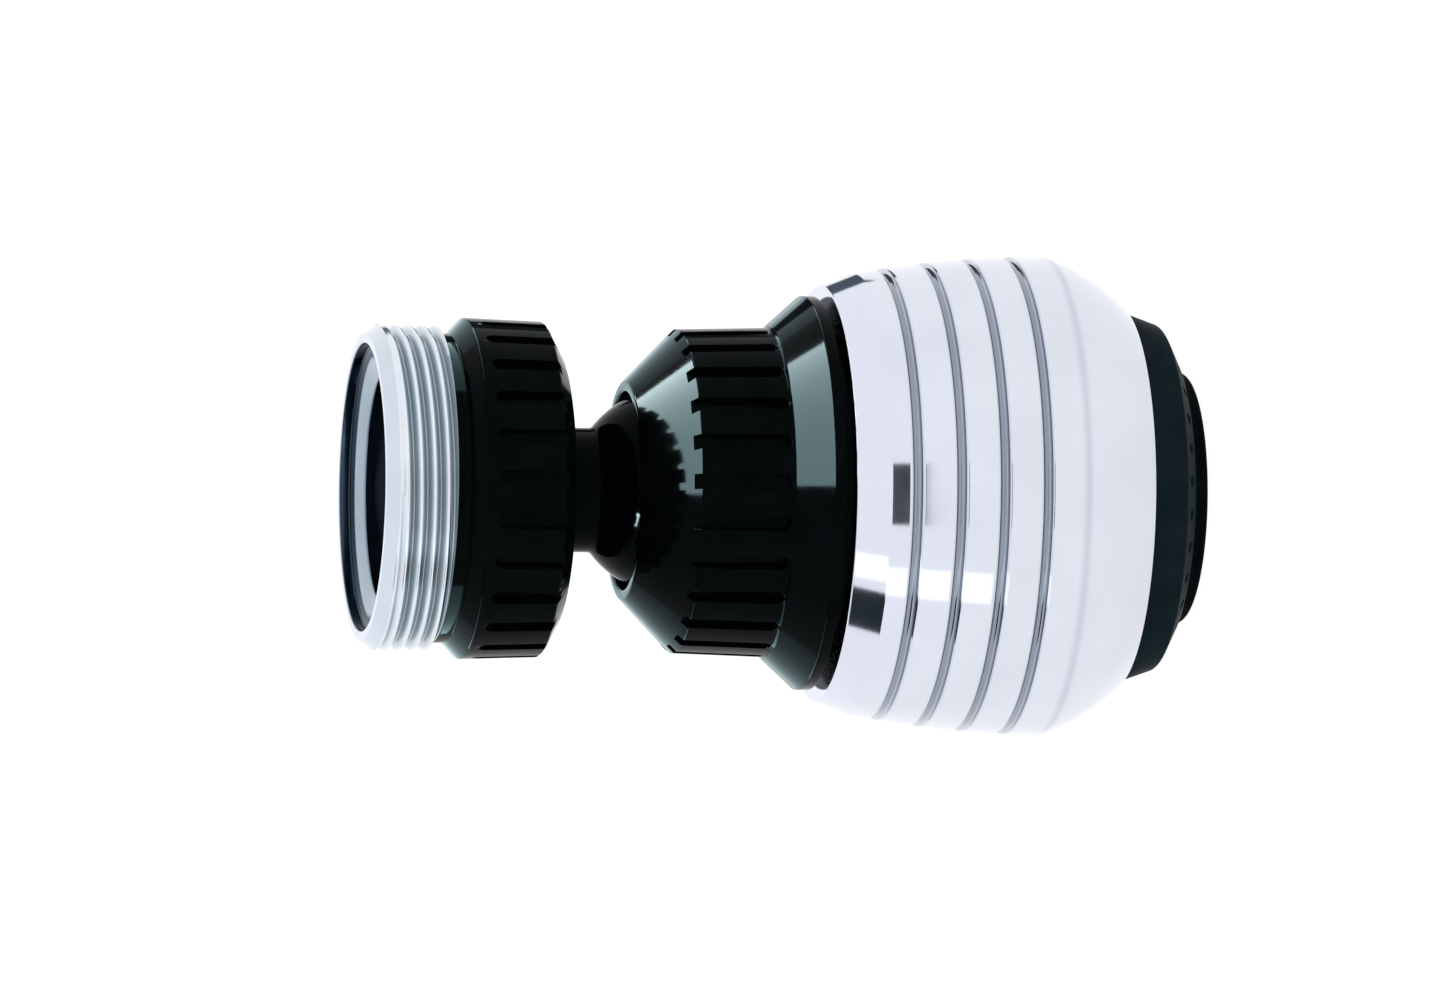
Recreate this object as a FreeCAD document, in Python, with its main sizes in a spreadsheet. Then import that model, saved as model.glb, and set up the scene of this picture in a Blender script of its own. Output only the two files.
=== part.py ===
import FreeCAD, Part
import math
import os
import Sketcher

# Swivel faucet aerator, millimetres.
# +Z runs up the axis from the outlet, where the part stands, to the threaded mouth.
# The origin is the middle of the flat outlet end. Heights are measured from there.

doc = FreeCAD.newDocument("swivel_aerator")
sheet = doc.addObject("Spreadsheet::Sheet", "dims")

SIZES = {
    # Fits
    "seat_gap": 0.05,
    "run_gap": 0.08,
    "touch_gap": 0.05,
    "end_gap": 0.1,
    "travel": 3.5,
    # Ball and neck
    "ball_radius": 7.7,
    "ball_depth": 3.8,
    "neck_root_round": 0.6,
    "stem_reach": 9.05,
    # Seat and seal of the ball
    "seat_top_drop": 0.4,
    "seal_section": 0.9,
    "seal_angle": 52.0,
    # Ball nut, outwards from the ball
    "nut_gap": 0.5,
    "nut_mouth_grip": 0.35,
    "nut_rim_width": 0.75,
    "cone_width": 3.9,
    "cone_height": 3.8,
    "rib_height": 6.7,
    "rib_taper": 0.2,
    "rib_foot_width": 0.15,
    "rib_foot_rise": 0.2,
    "flare_width": 1.95,
    "flare_height": 2.2,
    "flare_lip_rise": 0.3,
    "nut_lip_width": 0.3,
    "nut_lip_height": 0.9,
    "nut_skirt": 2.0,
    "nut_slot_width": 1.1,
    "nut_slot_depth": 0.55,
    "nut_slot_count": 25,
    # Core that the bell slides on, outwards from the ball and down to the piston
    "core_cup_margin": 0.25,
    "core_cup_wall": 1.5,
    "core_top_drop": 0.9,
    "core_shoulder_width": 2.0,
    "core_dish_step": 2.3,
    "core_dish_depth": 2.0,
    "core_dish_slope": 1.7,
    "core_bell_step": 2.6,
    "core_bell_depth": 6.6,
    "core_bell_slope": 1.5,
    "piston_height": 4.0,
    "piston_step": 1.4,
    "piston_ring_section": 0.75,
    "ring_side_gap": 0.2,
    "face_seal_inner_margin": 0.1,
    "face_seal_outer_margin": 0.25,
    "face_seal_depth": 1.0,
    "face_seal_proud": 0.4,
    "web_rise": 2.1,
    "web_height": 2.0,
    "web_arm_width": 1.4,
    "web_arm_count": 3,
    "web_hub_radius": 2.4,
    # Diverter valve on its spindle
    "spindle_radius": 1.25,
    "spindle_shank_radius": 2.0,
    "spindle_waist_radius": 1.5,
    "spindle_head_step": 2.1,
    "spindle_head_height": 1.0,
    "spindle_end_gap": 0.6,
    "valve_overlap": 1.0,
    "valve_thickness": 1.2,
    # Spray nozzle, a cup round a middle tube
    "cup_wall": 0.95,
    "cup_floor": 4.2,
    "spray_channel": 2.4,
    "spray_hole_radius": 0.4,
    "spray_hole_count": 30,
    "tube_wall": 1.5,
    "tube_crown_width": 1.3,
    "tube_crown_depth": 1.9,
    "washer_seat_width": 1.2,
    "ledge_width": 2.2,
    "ledge_thickness": 1.4,
    "face_land_width": 0.95,
    "face_land_rise": 0.3,
    "face_slope_width": 2.0,
    "face_slope_rise": 1.0,
    "nozzle_drop": 5.1,
    # Bell shell, outwards from the nozzle's cup
    "shell_edge_width": 0.35,
    "shoulder_width": 3.6,
    "shoulder_height": 5.8,
    "shoulder_round": 13.5,
    "belly_taper": 1.45,
    "belly_round": 80.0,
    "band_taper": 0.95,
    "band_height": 2.3,
    "shell_lip": 2.2,
    "ring_groove_count": 4,
    "ring_groove_rise": 3.0,
    "ring_groove_drop": 1.99,
    "ring_groove_radius": 0.35,
    # Aerator housing, screwed in the nozzle's tube
    "housing_wall": 1.25,
    "housing_lip": 0.9,
    "housing_lip_width": 0.45,
    "boss_flange_width": 0.85,
    "boss_flange": 1.1,
    "boss_taper": 0.4,
    "boss_round": 0.6,
    "boss_proud": 1.1,
    "boss_slot_gap": 0.15,
    # Stack in the aerator housing
    "grille_height": 2.0,
    "grille_rim": 0.75,
    "grille_ring_width": 0.4,
    "grille_ring_count": 2,
    "grille_hub_radius": 1.1,
    "grille_spoke_width": 0.4,
    "grille_spoke_count": 12,
    "spacer_height": 0.9,
    "spacer_width": 0.8,
    "mixer_height": 2.0,
    "mixer_width": 2.05,
    "mixer_rim": 0.75,
    "jet_plate_thickness": 1.5,
    "jet_radius": 0.45,
    "jet_edge": 2.05,
    "jet_circle_pitch": 2.2,
    "outer_jet_count": 20,
    "inner_jet_count": 12,
    "aerator_washer_thickness": 1.0,
    "aerator_washer_margin": 0.8,
    # Wire mesh of the filter and the screens
    "mesh_thickness": 0.2,
    "mesh_rim": 0.4,
    "mesh_wire": 0.3,
    "mesh_pitch": 1.4,
    # Threaded ring, M24 x 1 outside, inwards from the thread
    "thread_radius": 12.0,
    "thread_length": 4.35,
    "lead_step": 0.65,
    "lead_chamfer": 0.9,
    "mouth_face_width": 0.75,
    "counterbore_depth": 0.75,
    "countersink_width": 2.1,
    "countersink_depth": 0.85,
    "filter_seat_width": 0.9,
    "shank_step": 1.6,
    # Inlet filter
    "filter_depth": 5.6,
    "filter_rim_width": 1.6,
    "filter_rim_height": 1.0,
    "filter_mesh_rise": 0.5,
    "filter_mesh_margin": 1.05,
    # Grip collar, outwards from the ring's shank
    "collar_height": 9.0,
    "collar_neck_wall": 1.0,
    "collar_neck_height": 0.95,
    "collar_front_width": 1.2,
    "collar_front_chamfer": 1.1,
    "collar_taper": 0.2,
    "collar_end_width": 2.1,
    "collar_end_chamfer": 1.15,
    "collar_floor": 2.05,
    "collar_slot_width": 1.1,
    "collar_slot_depth": 0.55,
    "collar_slot_count": 25,
    "collar_plain_rim": 0.8,
    # Bush that turns in the threaded ring, and the stem's spigot in it
    "bush_flange": 1.6,
    "bush_flange_margin": 0.2,
    "bush_wall": 3.37,
    "spigot_step": 0.5,
    "spigot_wall": 1.2,
    "spigot_drop": 1.3,
    "bush_ring_section": 0.6,
    "hub_gap": 0.5,
}

for row, (alias, value) in enumerate(SIZES.items(), start=1):
    sheet.set(f"A{row}", alias)
    sheet.set(f"B{row}", str(value))
    sheet.setAlias(f"B{row}", alias)
doc.recompute()

# Radii outwards from the ball to the bell
SOCKET_RADIUS = "(dims.ball_radius + dims.touch_gap)"
CORE_CUP_BORE = f"({SOCKET_RADIUS} + dims.core_cup_margin)"
CORE_CUP_RADIUS = f"({CORE_CUP_BORE} + dims.core_cup_wall)"
CORE_NECK_RADIUS = f"({CORE_CUP_RADIUS} + dims.core_shoulder_width)"
CUP_BORE = f"({CORE_NECK_RADIUS} + dims.piston_step)"
CUP_RADIUS = f"({CUP_BORE} + dims.cup_wall)"
SHELL_MOUTH_RADIUS = f"({CUP_RADIUS} + dims.shell_edge_width)"
BELLY_RADIUS = f"({SHELL_MOUTH_RADIUS} + dims.shoulder_width)"
BAND_EDGE_RADIUS = f"({BELLY_RADIUS} - dims.belly_taper)"
SHELL_TOP_RADIUS = f"({BAND_EDGE_RADIUS} - dims.band_taper)"
PISTON_RADIUS = f"({CUP_BORE} - dims.run_gap)"
PISTON_RING = f"({CUP_BORE} - dims.touch_gap - dims.piston_ring_section)"

# Radii inwards from the nozzle's cup to the aerator's stack
TUBE_RADIUS = f"({CUP_BORE} - dims.spray_channel)"
TUBE_CROWN_BORE = f"({TUBE_RADIUS} - dims.tube_crown_width)"
FACE_SEAL_BORE = f"({TUBE_CROWN_BORE} - dims.face_seal_inner_margin)"
FACE_SEAL_RADIUS = f"({TUBE_RADIUS} + dims.face_seal_outer_margin)"
CORE_BELL_RADIUS = f"({FACE_SEAL_BORE} - dims.core_bell_step)"
SLEEVE_BORE = f"({TUBE_RADIUS} - dims.tube_wall)"
TUBE_BORE = f"({SLEEVE_BORE} - dims.washer_seat_width)"
LEDGE_BORE = f"({TUBE_BORE} - dims.ledge_width)"
VALVE_RADIUS = f"({LEDGE_BORE} + dims.valve_overlap)"
HOUSING_RADIUS = f"({SLEEVE_BORE} - dims.seat_gap)"
HOUSING_BORE = f"({HOUSING_RADIUS} - dims.housing_wall)"
STACK_RADIUS = f"({HOUSING_BORE} - dims.seat_gap)"
BOSS_BASE_RADIUS = f"({HOUSING_RADIUS} + dims.boss_flange_width)"
BOSS_HOLE_RADIUS = f"({BOSS_BASE_RADIUS} + dims.boss_slot_gap)"
FACE_LAND_RADIUS = f"({BOSS_HOLE_RADIUS} + dims.face_land_width)"

# Radii of the connector, inwards and outwards from the thread
LEAD_RADIUS = "(dims.thread_radius - dims.lead_step)"
COUNTERBORE_RADIUS = f"({LEAD_RADIUS} - dims.mouth_face_width)"
MOUTH_BORE = f"({COUNTERBORE_RADIUS} - dims.countersink_width)"
FILTER_MESH_RADIUS = f"({MOUTH_BORE} - dims.filter_mesh_margin)"
HUB_BORE = f"({MOUTH_BORE} - dims.filter_seat_width)"
HUB_RADIUS = f"({HUB_BORE} - dims.run_gap)"
BUSH_RING_RADIUS = f"({HUB_BORE} - dims.touch_gap - dims.bush_ring_section)"
BUSH_BORE = f"({HUB_RADIUS} - dims.bush_wall)"
SPIGOT_RADIUS = f"({BUSH_BORE} - dims.seat_gap)"
NECK_RADIUS = f"({SPIGOT_RADIUS} + dims.spigot_step)"
STEM_BORE = f"({SPIGOT_RADIUS} - dims.spigot_wall)"
SHANK_RADIUS = "(dims.thread_radius - dims.shank_step)"
COLLAR_BORE = f"({SHANK_RADIUS} + dims.seat_gap)"
COLLAR_NECK_RADIUS = f"({SHANK_RADIUS} + dims.collar_neck_wall)"
COLLAR_RADIUS = f"({COLLAR_NECK_RADIUS} + dims.collar_front_width)"
COLLAR_BASE_RADIUS = f"({COLLAR_RADIUS} - dims.collar_taper)"

# Heights up the stack in the aerator housing
BOSS_FLANGE_TOP = "(dims.boss_proud + dims.boss_flange)"
GRILLE_TOP = "(dims.housing_lip + dims.grille_height)"
LOWER_SCREEN_TOP = f"({GRILLE_TOP} + dims.mesh_thickness)"
SPACER_TOP = f"({LOWER_SCREEN_TOP} + dims.spacer_height)"
UPPER_SCREEN_TOP = f"({SPACER_TOP} + dims.mesh_thickness)"
MIXER_TOP = f"({UPPER_SCREEN_TOP} + dims.mixer_height)"
JET_TOP = f"({MIXER_TOP} + dims.jet_plate_thickness)"
BORE_STEP = f"({JET_TOP} + dims.aerator_washer_thickness)"

# Heights up the sliding spray head, from the valve to the bell's top
SPINDLE_END = f"({JET_TOP} + dims.spindle_end_gap)"
VALVE_BASE = f"({SPINDLE_END} + dims.spindle_head_height)"
VALVE_TOP = f"({VALVE_BASE} + dims.valve_thickness)"
LEDGE_BASE = f"({VALVE_TOP} + dims.travel + dims.end_gap)"
LEDGE_TOP = f"({LEDGE_BASE} + dims.ledge_thickness)"
TUBE_TOP = f"({LEDGE_TOP} + dims.tube_crown_depth)"
PISTON_BASE = f"({TUBE_TOP} + dims.end_gap + dims.face_seal_proud)"
PISTON_TOP = f"({PISTON_BASE} + dims.piston_height)"
LIP_UNDER = f"({PISTON_TOP} + dims.travel + dims.end_gap)"
SHELL_TOP = f"({LIP_UNDER} + dims.shell_lip)"
BAND_EDGE = f"({SHELL_TOP} - dims.band_height)"
SHOULDER_TOP = "(dims.nozzle_drop + dims.shoulder_height)"
FIRST_GROOVE = f"({SHOULDER_TOP} + dims.ring_groove_rise)"
LAST_GROOVE = f"({BAND_EDGE} - dims.ring_groove_drop)"
FACE_LAND = "(dims.boss_proud + dims.face_land_rise)"

# Heights up the ball joint
NUT_BASE = f"({SHELL_TOP} + dims.nut_gap)"
NUT_LIP_TOP = f"({NUT_BASE} + dims.nut_lip_height)"
FLARE_BASE = f"({NUT_LIP_TOP} + dims.flare_lip_rise)"
FLARE_TOP = f"({FLARE_BASE} + dims.flare_height)"
RIB_BASE = f"({FLARE_TOP} + dims.rib_foot_rise)"
RIB_TOP = f"({RIB_BASE} + dims.rib_height)"
NUT_RIM = f"({RIB_TOP} + dims.cone_height)"
BALL = f"({NUT_RIM} - dims.ball_depth)"
CORE_SHOULDER = f"({NUT_BASE} + dims.nut_skirt)"
CORE_TOP = f"({BALL} - dims.core_top_drop)"
WEB_BASE = f"({PISTON_BASE} + dims.web_rise)"
WEB_TOP = f"({WEB_BASE} + dims.web_height)"
SEAL_REACH = "(dims.ball_radius + dims.touch_gap + dims.seal_section)"
SEAL_RADIUS = f"({SEAL_REACH} * sin(dims.seal_angle * 1 deg))"
SEAL = f"({BALL} - {SEAL_REACH} * cos(dims.seal_angle * 1 deg))"
CUP_FLOOR = f"({SEAL} - dims.seal_section - dims.touch_gap)"
SEAT_BASE = f"({SEAL} + dims.seal_section + dims.seat_gap)"
SEAT_TOP = f"({CORE_TOP} - dims.seat_top_drop)"

# Heights up the connector
COLLAR_BASE = f"({BALL} + dims.stem_reach)"
COLLAR_FLOOR = f"({COLLAR_BASE} + dims.collar_floor)"
COLLAR_TOP = f"({COLLAR_BASE} + dims.collar_height)"
COLLAR_SHOULDER = f"({COLLAR_TOP} - dims.collar_neck_height)"
COLLAR_EDGE = f"({COLLAR_SHOULDER} - dims.collar_front_chamfer)"
BUSH_BASE = f"({COLLAR_FLOOR} + dims.end_gap)"
BUSH_FLANGE_TOP = f"({BUSH_BASE} + dims.bush_flange)"
SHANK_BASE = f"({BUSH_FLANGE_TOP} + dims.end_gap)"
THREAD_TOP = f"({COLLAR_TOP} + dims.thread_length)"
MOUTH = f"({THREAD_TOP} + dims.lead_chamfer)"
FILTER_SEAT = f"({MOUTH} - dims.filter_depth)"
HUB_TOP = f"({FILTER_SEAT} - dims.hub_gap)"
BUSH_RING = f"(({SHANK_BASE} + {HUB_TOP}) / 2)"
MESH_BASE = f"({FILTER_SEAT} + dims.filter_mesh_rise)"


def size(expression):
    """The number that an expression has now."""
    return float(sheet.evalExpression(expression))


def on_sphere(radius, height):
    """How far from the axis a ball of this radius lies, this far above its centre."""
    return f"sqrt({radius} ^ 2 - ({height}) ^ 2)"


def plane(body, role):
    """One of the body's own origin planes or axes."""
    return next(f for f in body.Origin.OriginFeatures if f.Role == role)


def new_sketch(body, name, role, lift="0"):
    """An empty sketch on an origin plane, lifted along the plane's normal."""
    sketch = body.newObject("Sketcher::SketchObject", name)
    sketch.AttachmentSupport = [(plane(body, role), "")]
    sketch.MapMode = "FlatFace"
    sketch.setExpression("AttachmentOffset.Base.z", lift)
    return sketch


def bind(sketch, constraint, expression):
    """Add a constraint with a size and tie that size to the sheet."""
    index = sketch.addConstraint(Sketcher.Constraint(*constraint, size(expression)))
    sketch.setExpression(f"Constraints[{index}]", expression)


def pin_along(sketch, kind, axis, point, expression):
    """Fix one coordinate of a point, on the axis itself where it is zero."""
    if expression == "0":
        sketch.addConstraint(Sketcher.Constraint("PointOnObject", *point, axis))
    elif expression.startswith("-"):
        bind(sketch, (kind, *point, -1, 1), expression[1:])
    else:
        bind(sketch, (kind, -1, 1, *point), expression)


def pin_point(sketch, point, across, up):
    """Fix a point of the sketch by its two distances from the origin."""
    pin_along(sketch, "DistanceX", -2, point, across)
    pin_along(sketch, "DistanceY", -1, point, up)


def arc_between(start, end, radius, side):
    """The short arc from start to end that bulges to the left or the right of the way."""
    chord = end - start
    middle = (start + end) * 0.5
    left = FreeCAD.Vector(-chord.y, chord.x, 0).normalize()
    sagitta = radius - math.sqrt(max(radius**2 - chord.Length**2 / 4, 0))
    bulge = middle + left * (sagitta if side == "left" else -sagitta)
    return Part.Arc(start, bulge, end)


def draw_outline(sketch, outline):
    """Draw a closed outline. Each corner is (across, up), or (across, up, radius, side)
    where an arc leads to it, or (across, up, side) where a half circle does."""
    corners = [FreeCAD.Vector(size(c[0]), size(c[1]), 0) for c in outline]
    ends = []
    for index, corner in enumerate(outline):
        start = corners[index - 1]
        end = corners[index]
        if len(corner) == 2:
            line = sketch.addGeometry(Part.LineSegment(start, end))
            ends.append(((line, 1), (line, 2)))
            continue
        half_circle = len(corner) == 3
        radius = (end - start).Length / 2 if half_circle else size(corner[2])
        arc = sketch.addGeometry(arc_between(start, end, radius, corner[-1]))
        clockwise = corner[-1] == "left"
        ends.append(((arc, 2), (arc, 1)) if clockwise else ((arc, 1), (arc, 2)))
        if half_circle:
            pin_along(sketch, "DistanceY", -1, (arc, 3), corner[1])
        else:
            bind(sketch, ("Radius", arc), corner[2])
    for index, corner in enumerate(outline):
        joined = (*ends[index - 1][1], *ends[index][0])
        sketch.addConstraint(Sketcher.Constraint("Coincident", *joined))
        pin_point(sketch, ends[index][1], corner[0], corner[1])


def turned(name, outline):
    """A piece turned about the Z axis from its half section."""
    body = doc.addObject("PartDesign::Body", name)
    body.Label = name
    sketch = new_sketch(body, f"{name}_section", "XZ_Plane")
    draw_outline(sketch, outline)
    revolution = body.newObject("PartDesign::Revolution", f"{name}_turned")
    revolution.Profile = sketch
    revolution.ReferenceAxis = (sketch, ["V_Axis"])
    revolution.Angle = 360
    doc.recompute()
    return body


def add_round_pattern(body, feature, count):
    """Repeat a feature evenly round the Z axis."""
    pattern = body.newObject("PartDesign::PolarPattern", f"{feature.Name}_round")
    pattern.Originals = [feature]
    pattern.Axis = (plane(body, "Z_Axis"), [""])
    pattern.Angle = 360
    pattern.setExpression("Occurrences", count)
    body.Tip = pattern
    doc.recompute()


def cut_slots(body, floor_radius, depth, half_width, outline, count):
    """Cut equal upright slots into the outside, outwards from a flat floor."""
    sketch = new_sketch(body, f"{body.Name}_slot_outline", "YZ_Plane", floor_radius)
    draw_outline(sketch, outline)
    slot = body.newObject("PartDesign::Pocket", f"{body.Name}_slot")
    slot.Profile = sketch
    slot.Reversed = True
    slot.setExpression("Length", f"{depth} + {half_width}")
    add_round_pattern(body, slot, count)


def draw_circle(sketch, radius, across="0"):
    """Draw a circle with its centre on the sketch's first axis."""
    centre = FreeCAD.Vector(size(across), 0, 0)
    drawn = sketch.addGeometry(Part.Circle(centre, FreeCAD.Vector(0, 0, 1), size(radius)))
    bind(sketch, ("Radius", drawn), radius)
    pin_point(sketch, (drawn, 3), across, "0")


def drill_circle(body, name, top, depth, circle, radius, count):
    """Drill a ring of equal holes straight down."""
    sketch = new_sketch(body, f"{name}_outline", "XY_Plane", top)
    draw_circle(sketch, radius, circle)
    pocket = body.newObject("PartDesign::Pocket", name)
    pocket.Profile = sketch
    pocket.setExpression("Length", depth)
    if count != "1":
        add_round_pattern(body, pocket, count)


def pad_arms(body, name, base, height, reach, width, count):
    """Add flat arms that reach out from the Z axis."""
    sketch = new_sketch(body, f"{name}_outline", "XY_Plane", base)
    half = f"({width} / 2)"
    draw_outline(sketch, [("0", f"-{half}"), (reach, f"-{half}"), (reach, half), ("0", half)])
    arm = body.newObject("PartDesign::Pad", name)
    arm.Profile = sketch
    arm.setExpression("Length", height)
    add_round_pattern(body, arm, count)


def pad_disc(body, name, base, height, radius):
    """Add a round boss on the Z axis."""
    sketch = new_sketch(body, f"{name}_outline", "XY_Plane", base)
    draw_circle(sketch, radius)
    boss = body.newObject("PartDesign::Pad", name)
    boss.Profile = sketch
    boss.setExpression("Length", height)
    doc.recompute()


def turned_ring(name, radius, bore, base, top):
    """A plain flat ring."""
    return turned(name, [(bore, base), (radius, base), (radius, top), (bore, top)])


def o_ring(name, radius, height, section):
    """A rubber ring with a round section."""
    ring = doc.addObject("Part::Torus", name)
    ring.Label = name
    ring.setExpression("Radius1", radius)
    ring.setExpression("Radius2", section)
    ring.setExpression("Placement.Base.z", height)
    doc.recompute()
    return ring


def mesh_disc(name, radius, base):
    """A disc of wire mesh: crossed wires in a plain rim."""
    inner = f"({radius} - dims.mesh_rim)"
    body = turned_ring(name, radius, inner, base, f"({base} + dims.mesh_thickness)")
    sketch = new_sketch(body, f"{name}_wire_outlines", "XY_Plane", base)
    wire_end = f"({radius} - dims.mesh_rim / 2)"
    side_count = int(size(f"{inner} / dims.mesh_pitch"))
    for index in range(-side_count, side_count + 1):
        low = f"({index} * dims.mesh_pitch - dims.mesh_wire / 2)"
        high = f"({index} * dims.mesh_pitch + dims.mesh_wire / 2)"
        half = on_sphere(wire_end, f"{index} * dims.mesh_pitch")
        draw_outline(sketch, [(f"-{half}", low), (half, low), (half, high), (f"-{half}", high)])
    wires = body.newObject("PartDesign::Pad", f"{name}_wires")
    wires.Profile = sketch
    wires.setExpression("Length", "dims.mesh_thickness")
    doc.recompute()
    crossed = body.newObject("PartDesign::PolarPattern", f"{name}_crossed_wires")
    crossed.Originals = [wires]
    crossed.Axis = (plane(body, "Z_Axis"), [""])
    crossed.Angle = 90
    crossed.Occurrences = 2
    body.Tip = crossed
    doc.recompute()
    return body


def build_threaded_ring():
    """Brass ring: thread outside, stepped and countersunk mouth, and a shank that the
    collar grips."""
    counterbore_floor = f"({MOUTH} - dims.counterbore_depth)"
    return turned("threaded_ring", [
        (HUB_BORE, SHANK_BASE),
        (SHANK_RADIUS, SHANK_BASE),
        (SHANK_RADIUS, COLLAR_TOP),
        ("dims.thread_radius", COLLAR_TOP),
        ("dims.thread_radius", THREAD_TOP),
        (LEAD_RADIUS, MOUTH),
        (COUNTERBORE_RADIUS, MOUTH),
        (COUNTERBORE_RADIUS, counterbore_floor),
        (MOUTH_BORE, f"({counterbore_floor} - dims.countersink_depth)"),
        (MOUTH_BORE, FILTER_SEAT),
        (HUB_BORE, FILTER_SEAT),
    ])


def build_filter_rim():
    """Plastic ring that drops on the step in the bore and holds the mesh."""
    rim_top = f"({FILTER_SEAT} + dims.filter_rim_height)"
    rim_radius = f"({MOUTH_BORE} - dims.seat_gap)"
    rim_bore = f"({MOUTH_BORE} - dims.filter_rim_width)"
    mesh_pocket = f"({FILTER_MESH_RADIUS} + dims.seat_gap)"
    return turned("filter_rim", [
        (rim_bore, FILTER_SEAT),
        (rim_radius, FILTER_SEAT),
        (rim_radius, rim_top),
        (mesh_pocket, rim_top),
        (mesh_pocket, MESH_BASE),
        (rim_bore, MESH_BASE),
    ])


def build_grip_collar():
    """Collar pressed on the ring's shank. Its floor keeps the bush in, and its slots are
    for the fingers."""
    neck_hole = f"({NECK_RADIUS} + dims.run_gap)"
    slot_radius = "dims.collar_slot_width / 2"
    slot_end = f"({COLLAR_EDGE} - dims.collar_plain_rim - {slot_radius})"
    body = turned("grip_collar", [
        (neck_hole, COLLAR_BASE),
        (f"({COLLAR_BASE_RADIUS} - dims.collar_end_width)", COLLAR_BASE),
        (COLLAR_BASE_RADIUS, f"({COLLAR_BASE} + dims.collar_end_chamfer)"),
        (COLLAR_RADIUS, COLLAR_EDGE),
        (COLLAR_NECK_RADIUS, COLLAR_SHOULDER),
        (COLLAR_NECK_RADIUS, COLLAR_TOP),
        (COLLAR_BORE, COLLAR_TOP),
        (COLLAR_BORE, COLLAR_FLOOR),
        (neck_hole, COLLAR_FLOOR),
    ])
    cut_slots(
        body,
        f"({COLLAR_BASE_RADIUS} - dims.collar_slot_depth)",
        "dims.collar_slot_depth",
        slot_radius,
        [
            (f"-{slot_radius}", COLLAR_BASE),
            (slot_radius, COLLAR_BASE),
            (slot_radius, slot_end),
            (f"-{slot_radius}", slot_end, "right"),
        ],
        "dims.collar_slot_count",
    )
    return body


def build_stem_bush():
    """Flanged bush on the top of the stem. It turns in the ring and carries the stem."""
    flange_radius = f"({SHANK_RADIUS} - dims.bush_flange_margin)"
    groove_half = "(dims.bush_ring_section + dims.ring_side_gap)"
    groove_floor = f"({BUSH_RING_RADIUS} - dims.bush_ring_section - dims.touch_gap)"
    return turned("stem_bush", [
        (BUSH_BORE, BUSH_BASE),
        (flange_radius, BUSH_BASE),
        (flange_radius, BUSH_FLANGE_TOP),
        (HUB_RADIUS, BUSH_FLANGE_TOP),
        (HUB_RADIUS, f"({BUSH_RING} - {groove_half})"),
        (groove_floor, f"({BUSH_RING} - {groove_half})"),
        (groove_floor, f"({BUSH_RING} + {groove_half})"),
        (HUB_RADIUS, f"({BUSH_RING} + {groove_half})"),
        (HUB_RADIUS, HUB_TOP),
        (BUSH_BORE, HUB_TOP),
    ])


def build_ball_stem():
    """Ball and neck with a water bore, and a spigot that screws into the bush. A small
    round joins the neck to the ball."""
    bore_end = on_sphere("dims.ball_radius", STEM_BORE)
    spigot_top = f"({HUB_TOP} - dims.spigot_drop)"
    round_reach = "(dims.ball_radius + dims.neck_root_round)"
    round_centre = f"({NECK_RADIUS} + dims.neck_root_round)"
    round_height = on_sphere(round_reach, round_centre)
    ball_share = f"dims.ball_radius / {round_reach}"
    root_height = f"({BALL} + {round_height} * {ball_share})"
    return turned("ball_stem", [
        (STEM_BORE, spigot_top),
        (STEM_BORE, f"({BALL} - {bore_end})"),
        (f"({round_centre} * {ball_share})", root_height, "dims.ball_radius", "right"),
        (NECK_RADIUS, f"({BALL} + {round_height})", "dims.neck_root_round", "left"),
        (NECK_RADIUS, BUSH_BASE),
        (SPIGOT_RADIUS, BUSH_BASE),
        (SPIGOT_RADIUS, spigot_top),
    ])


def build_ball_nut():
    """Nut that holds the ball in: cone, ribbed waist, flare and lip. It screws on the
    core, whose rim it meets inside."""
    mouth_radius = "(dims.ball_radius - dims.nut_mouth_grip)"
    rim_radius = f"({mouth_radius} + dims.nut_rim_width)"
    rib_top_radius = f"({rim_radius} + dims.cone_width)"
    rib_base_radius = f"({rib_top_radius} + dims.rib_taper)"
    flare_inner_radius = f"({rib_base_radius} + dims.rib_foot_width)"
    flare_outer_radius = f"({flare_inner_radius} + dims.flare_width)"
    lip_radius = f"({flare_outer_radius} + dims.nut_lip_width)"
    mouth_height = on_sphere(SOCKET_RADIUS, mouth_radius)
    socket_base = on_sphere(SOCKET_RADIUS, "dims.core_top_drop")
    thread_bore = f"({CORE_CUP_RADIUS} + dims.seat_gap)"
    skirt_bore = f"({CORE_NECK_RADIUS} + dims.seat_gap)"
    slot_radius = "dims.nut_slot_width / 2"
    slot_end = f"({RIB_BASE} + {slot_radius})"
    body = turned("ball_nut", [
        (skirt_bore, NUT_BASE),
        (lip_radius, NUT_BASE),
        (lip_radius, NUT_LIP_TOP),
        (flare_outer_radius, FLARE_BASE),
        (flare_inner_radius, FLARE_TOP),
        (rib_base_radius, RIB_BASE),
        (rib_top_radius, RIB_TOP),
        (rim_radius, NUT_RIM),
        (mouth_radius, NUT_RIM),
        (mouth_radius, f"({BALL} + {mouth_height})"),
        (socket_base, CORE_TOP, SOCKET_RADIUS, "left"),
        (thread_bore, CORE_TOP),
        (thread_bore, CORE_SHOULDER),
        (skirt_bore, CORE_SHOULDER),
    ])
    cut_slots(
        body,
        f"({rib_top_radius} - dims.nut_slot_depth)",
        "dims.nut_slot_depth",
        slot_radius,
        [
            (f"-{slot_radius}", NUT_RIM),
            (f"-{slot_radius}", slot_end),
            (slot_radius, slot_end, "right"),
            (slot_radius, NUT_RIM),
        ],
        "dims.nut_slot_count",
    )
    return body


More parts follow.
